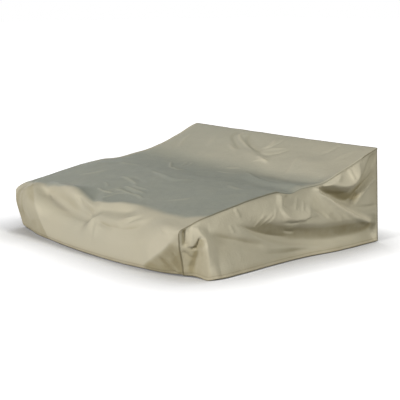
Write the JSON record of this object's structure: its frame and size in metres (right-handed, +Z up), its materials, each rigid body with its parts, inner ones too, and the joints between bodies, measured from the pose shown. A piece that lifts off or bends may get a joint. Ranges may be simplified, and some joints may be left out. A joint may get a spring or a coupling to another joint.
{
  "type": "outdoor daybed cover",
  "caption": "Fitted weather cover for an outdoor daybed, sewn from panels of coated cloth: a hollow shell, low in front and raised at the back, open below.",
  "frame": {"origin": "on the underside of the top panel at the middle of the daybed, where the cover bears on the seat", "axes": "+X to the right across the daybed, seen from its front; +Y from the front to the raised back; +Z up"},
  "size_m": [2.2774, 1.9396, 0.6944],
  "materials": {
    "cover_cloth": "plain-weave polyester, khaki, coated, slightly shiny"
  },
  "bodies": {
    "root": {"top_panel": "cover_cloth", "right_panel": "cover_cloth", "left_panel": "cover_cloth", "back_panel": "cover_cloth"}
  },
  "joints": []
}
